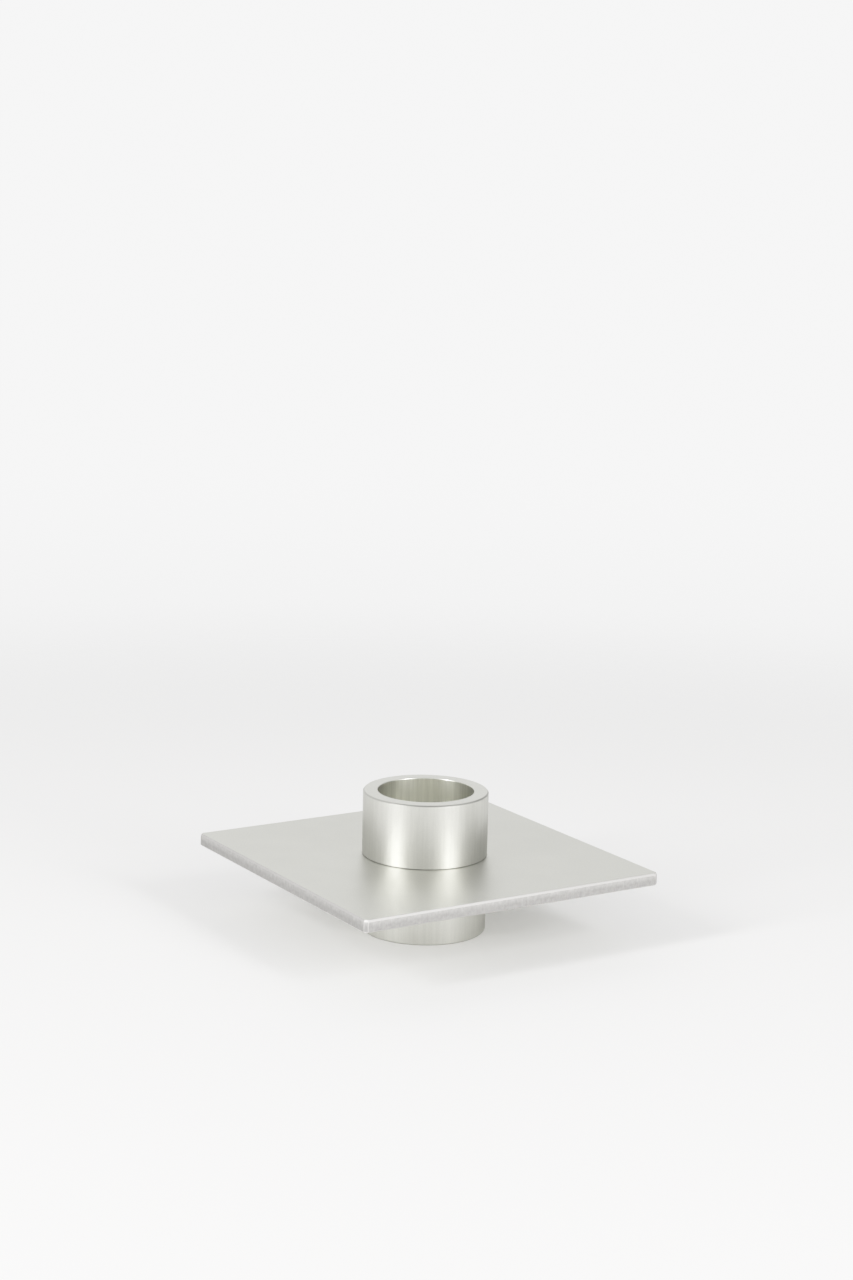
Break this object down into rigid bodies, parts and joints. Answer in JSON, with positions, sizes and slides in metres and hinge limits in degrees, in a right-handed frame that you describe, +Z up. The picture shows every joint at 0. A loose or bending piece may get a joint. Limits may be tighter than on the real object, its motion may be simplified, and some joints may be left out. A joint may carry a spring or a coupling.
{
  "type": "taper candle holder",
  "caption": "Square metal drip plate clamped at mid-height between a turned candle socket above and a matching turned foot below.",
  "frame": {"origin": "centre of the foot cup's rim, on the table", "axes": "+Z up along the cups' common axis, +X and +Y square to the plate's sides"},
  "size_m": [0.08, 0.08, 0.034],
  "materials": {
    "satin_turned": "satin anodised over a fine matt turned surface, with broken edges",
    "satin_plate": "satin anodised over a fine bead-blasted sheet, with sawn sides and chamfered edges",
    "screw_steel": "bright stainless steel"
  },
  "bodies": {
    "root": {"candle_socket": "satin_turned", "foot_cup": "satin_turned", "drip_plate": "satin_plate", "clamp_screw": "screw_steel"}
  },
  "joints": []
}
